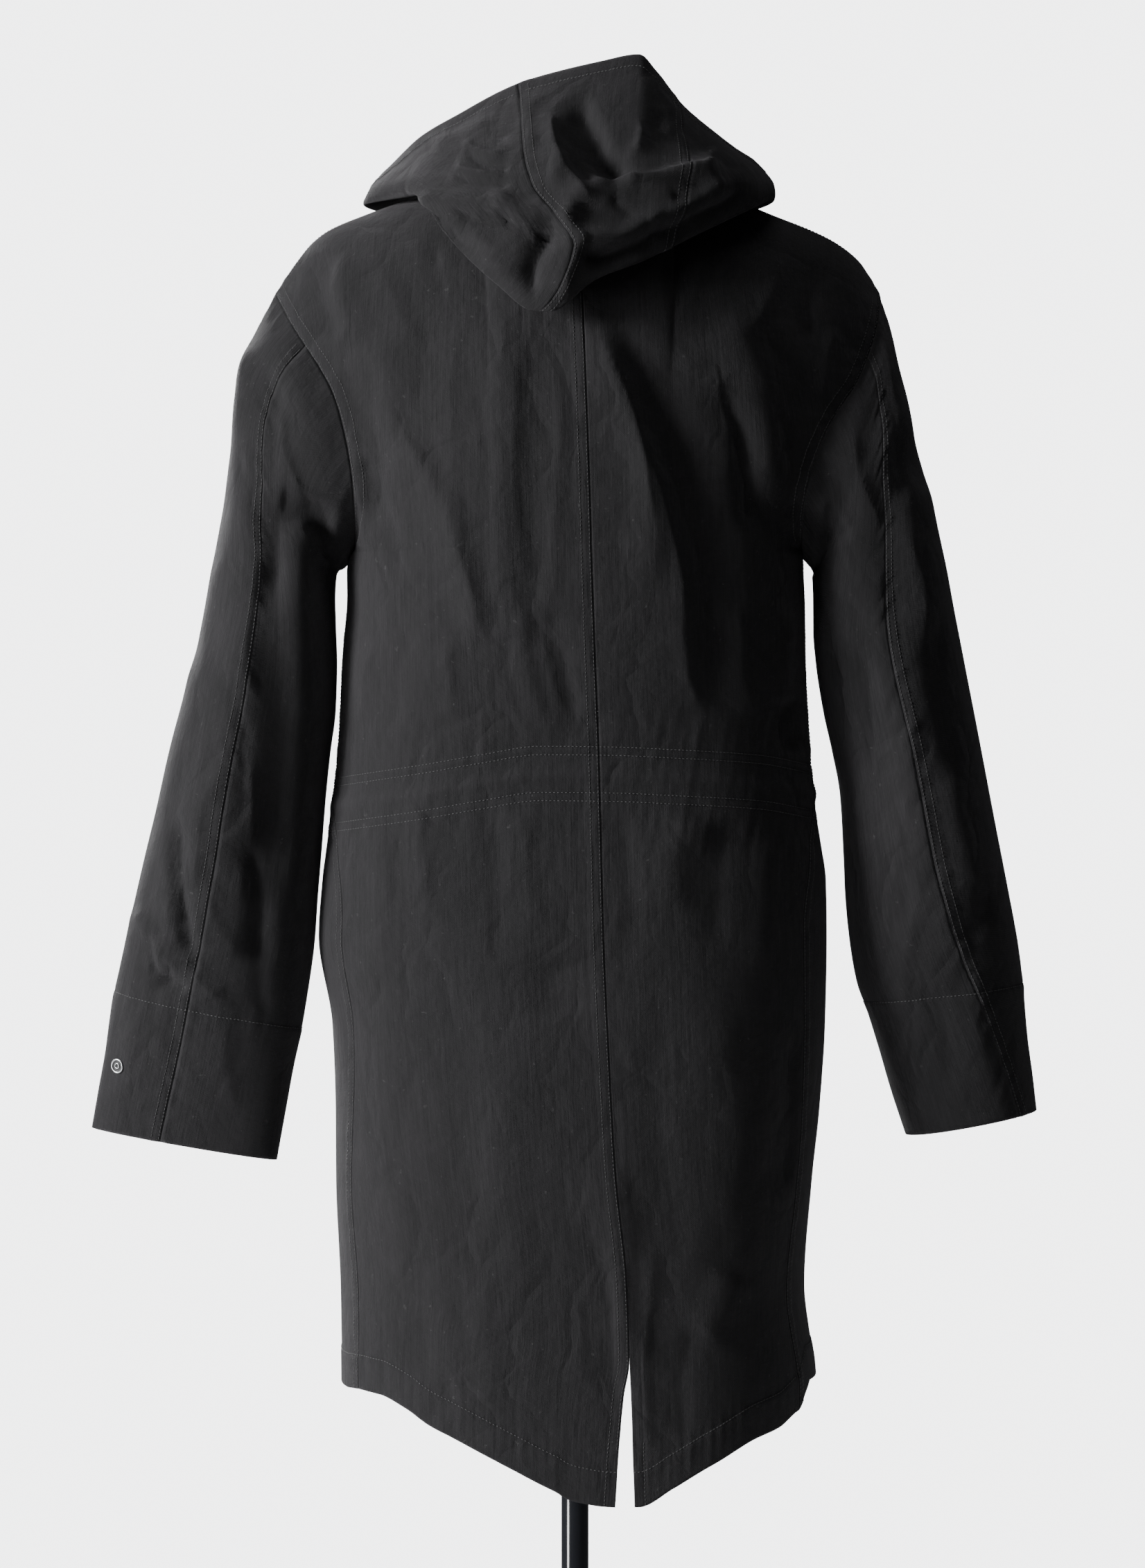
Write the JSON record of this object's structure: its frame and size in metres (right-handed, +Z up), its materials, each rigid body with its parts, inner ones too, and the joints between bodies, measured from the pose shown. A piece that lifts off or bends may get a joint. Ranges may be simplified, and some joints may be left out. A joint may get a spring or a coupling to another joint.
{
  "type": "parka on a dress form stand",
  "caption": "Fishtail parka with hood down, drop shoulders, drawcord waist and back vent, resting on a limbless dress form with a pole and round base",
  "frame": {"origin": "centre of the underside of the stand's round base, on the floor", "axes": "+Z up along the pole, the parka's back faces +Y and its front -Y, the wearer's left is +X"},
  "size_m": [0.7602, 0.34, 1.5646],
  "materials": {
    "cloth": "tightly woven black cotton, matt with a slight sheen",
    "snap_metal": "polished gunmetal snap",
    "form_cover": "smooth black jersey cover",
    "stand_gloss": "gloss black paint"
  },
  "bodies": {
    "root": {"back_left": "cloth", "back_right": "cloth", "front_left": "cloth", "front_right": "cloth", "front_placket": "cloth", "sleeve_left_top": "cloth", "sleeve_left_under": "cloth", "sleeve_right_top": "cloth", "sleeve_right_under": "cloth", "hood_left": "cloth", "hood_centre": "cloth", "hood_right": "cloth", "snap_left": "snap_metal", "snap_right": "snap_metal", "form_torso": "form_cover", "neck_cap": "stand_gloss", "pole_collar": "stand_gloss", "pole": "stand_gloss", "base": "stand_gloss"}
  },
  "joints": []
}
